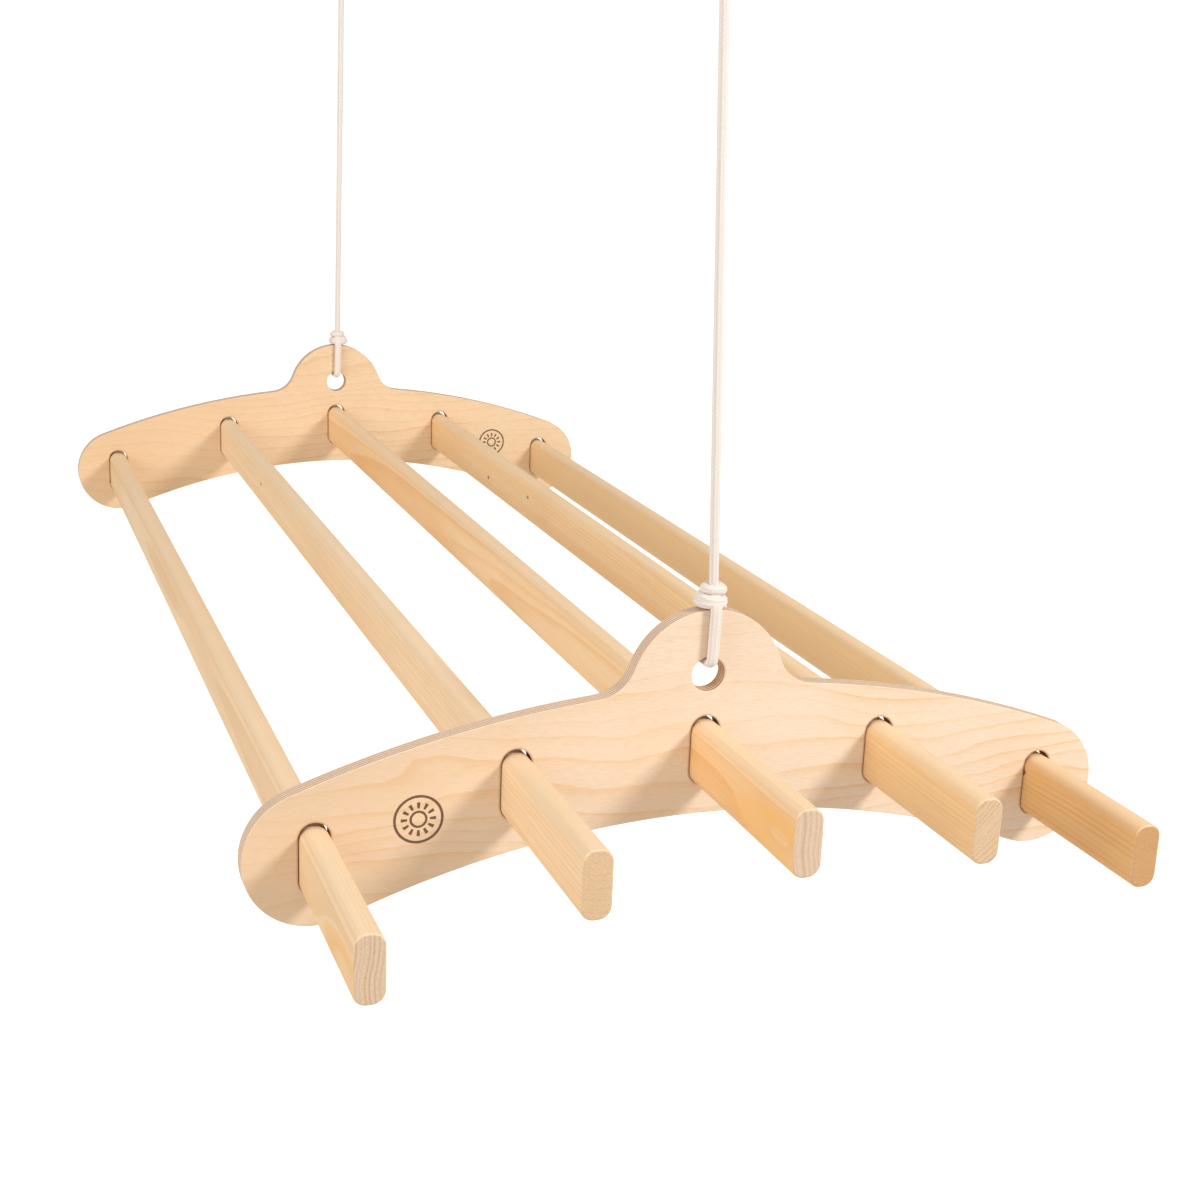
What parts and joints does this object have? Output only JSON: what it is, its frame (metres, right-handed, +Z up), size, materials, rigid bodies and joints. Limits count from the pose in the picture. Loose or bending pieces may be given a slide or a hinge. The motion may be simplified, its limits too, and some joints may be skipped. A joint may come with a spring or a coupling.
{
  "type": "ceiling mounted pulley rack",
  "caption": "Hanging drying rack: wooden laths in two curved plywood brackets, raised and lowered by ropes over ceiling pulleys.",
  "frame": {"origin": "centre of the near ceiling plate's upper face, on the ceiling", "axes": "+Z up, +Y along the laths from the near bracket to the far one, +X across the rack to the right"},
  "size_m": [0.6142, 1.435, 0.6674],
  "materials": {
    "plywood": "fine sanded birch plywood with pale faces, layered edges and a small burnt mark",
    "pine": "planed pine, clear satin oil",
    "rope": "natural cotton braid, matt",
    "zinc_steel": "zinc plated pressed steel",
    "wheel": "off-white moulded nylon",
    "brass": "turned brass",
    "steel": "bright steel"
  },
  "bodies": {
    "ceiling_fittings": {"near_ceiling_plate": "zinc_steel", "near_yoke": "zinc_steel", "near_yoke_rivets": "steel", "near_axle_pin": "steel", "near_axle_clip": "steel", "near_rope_over_wheel": "rope", "far_ceiling_plate": "zinc_steel", "far_yoke": "zinc_steel", "far_yoke_rivets": "steel", "far_axle_pin": "steel", "far_axle_clip": "steel", "far_rope_over_wheel": "rope"},
    "near_wheel_body": {"near_wheel": "wheel", "near_bush": "brass"},
    "far_wheel_body": {"far_wheel": "wheel", "far_bush": "brass"},
    "ropes": {"near_rope": "rope", "far_rope": "rope"},
    "rope_loops": {"near_loop_and_knot": "rope", "far_loop_and_knot": "rope"},
    "near_haul": {"near_hauling_rope": "rope", "near_stopper_knot": "rope"},
    "far_haul": {"far_hauling_rope": "rope", "far_stopper_knot": "rope"},
    "rack": {"near_bracket": "plywood", "far_bracket": "plywood"},
    "lath_body_1": {"lath_1": "pine"},
    "lath_body_2": {"lath_2": "pine"},
    "lath_body_3": {"lath_3": "pine"},
    "lath_body_4": {"lath_4": "pine"},
    "lath_body_5": {"lath_5": "pine"}
  },
  "joints": [
    {"name": "side_swing", "type": "hinge", "parent": "ceiling_fittings", "child": "ropes", "pos_m": [0, 0, -0.035], "axis": [0, 1, 0], "range_deg": [-8, 8]},
    {"name": "hoist", "type": "slide", "parent": "ropes", "child": "rope_loops", "axis": [0, 0, 1], "range_m": [0, 0.28], "deforming": ["near_rope", "far_rope"]},
    {"name": "rack_tilt", "type": "hinge", "parent": "rope_loops", "child": "rack", "pos_m": [0, -0.015, -0.5119], "axis": [0, 1, 0], "range_deg": [-15, 15]},
    {"name": "near_wheel_turn", "type": "hinge", "parent": "ceiling_fittings", "child": "near_wheel_body", "pos_m": [0, 0, -0.035], "axis": [1, 0, 0], "range_deg": [0, 810]},
    {"name": "near_rope_haul", "type": "slide", "parent": "ceiling_fittings", "child": "near_haul", "axis": [0, -1, 0], "range_m": [0, 0.28], "deforming": ["near_hauling_rope"]},
    {"name": "far_wheel_turn", "type": "hinge", "parent": "ceiling_fittings", "child": "far_wheel_body", "pos_m": [0, 1.084, -0.035], "axis": [1, 0, 0], "range_deg": [0, 810]},
    {"name": "far_rope_haul", "type": "slide", "parent": "ceiling_fittings", "child": "far_haul", "axis": [0, -1, 0], "range_m": [0, 0.28], "deforming": ["far_hauling_rope"]},
    {"name": "lath_1_slide", "type": "slide", "parent": "rack", "child": "lath_body_1", "axis": [0, 1, 0], "range_m": [-0.07, 0.12]},
    {"name": "lath_2_slide", "type": "slide", "parent": "rack", "child": "lath_body_2", "axis": [0, 1, 0], "range_m": [-0.07, 0.12]},
    {"name": "lath_3_slide", "type": "slide", "parent": "rack", "child": "lath_body_3", "axis": [0, 1, 0], "range_m": [-0.07, 0.12]},
    {"name": "lath_4_slide", "type": "slide", "parent": "rack", "child": "lath_body_4", "axis": [0, 1, 0], "range_m": [-0.07, 0.12]},
    {"name": "lath_5_slide", "type": "slide", "parent": "rack", "child": "lath_body_5", "axis": [0, 1, 0], "range_m": [-0.07, 0.12]}
  ],
  "couplings": [
    {"joint": "near_wheel_turn", "follows": "hoist", "rad_per_m": 50},
    {"joint": "near_rope_haul", "follows": "hoist", "ratio": 1},
    {"joint": "far_wheel_turn", "follows": "hoist", "rad_per_m": 50},
    {"joint": "far_rope_haul", "follows": "hoist", "ratio": 1}
  ]
}
